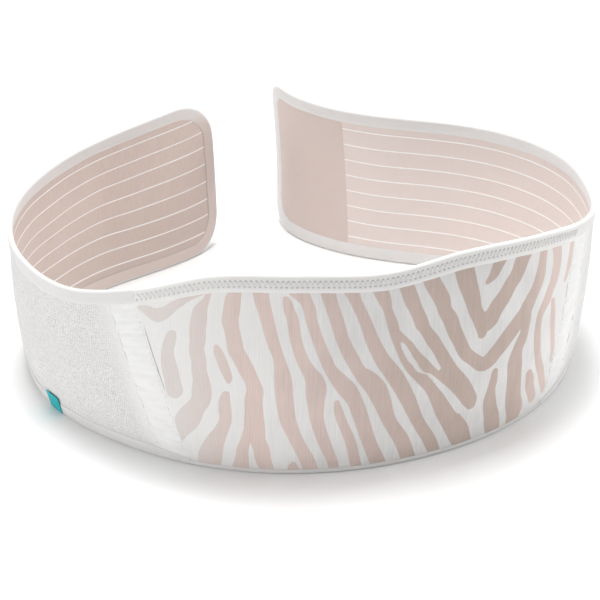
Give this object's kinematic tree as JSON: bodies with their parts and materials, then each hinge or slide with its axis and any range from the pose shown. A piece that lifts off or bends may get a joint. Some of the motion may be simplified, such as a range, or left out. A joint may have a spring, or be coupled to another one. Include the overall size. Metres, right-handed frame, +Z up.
{
  "type": "maternity support belt",
  "caption": "Broad elastic support belt with a tall printed front panel and two ribbed wings, standing on its long edge as an open C.",
  "frame": {"origin": "on the surface the belt stands on, under the middle of its bounding box", "axes": "+X from the wearer's left tip side to the other side along the front panel, +Y from the front panel back to the open tips, +Z up from the long bottom edge"},
  "size_m": [0.4026, 0.3452, 0.1566],
  "materials": {
    "printed_cloth": "matte jersey with pale pink zebra stripes on white",
    "white_elastic": "matte, fine looped pile",
    "pink_lining": "matte ribbed knit with thin white lines",
    "plain_pink": "matte brushed patch",
    "white_tape": "soft folded tape",
    "teal_cloth": "woven tag, plain"
  },
  "bodies": {
    "root": {"front_panel": "printed_cloth", "panel_top_binding": "white_tape", "panel_hem": "white_tape", "left_join_strip": "white_elastic", "right_join_strip": "white_elastic", "left_wing_elastic": "white_elastic", "right_wing_elastic": "white_elastic", "left_wing_lining": "pink_lining", "right_wing_lining": "pink_lining", "left_wing_binding": "white_tape", "right_wing_binding": "white_tape", "end_patch": "plain_pink", "side_tag": "teal_cloth"}
  },
  "joints": []
}
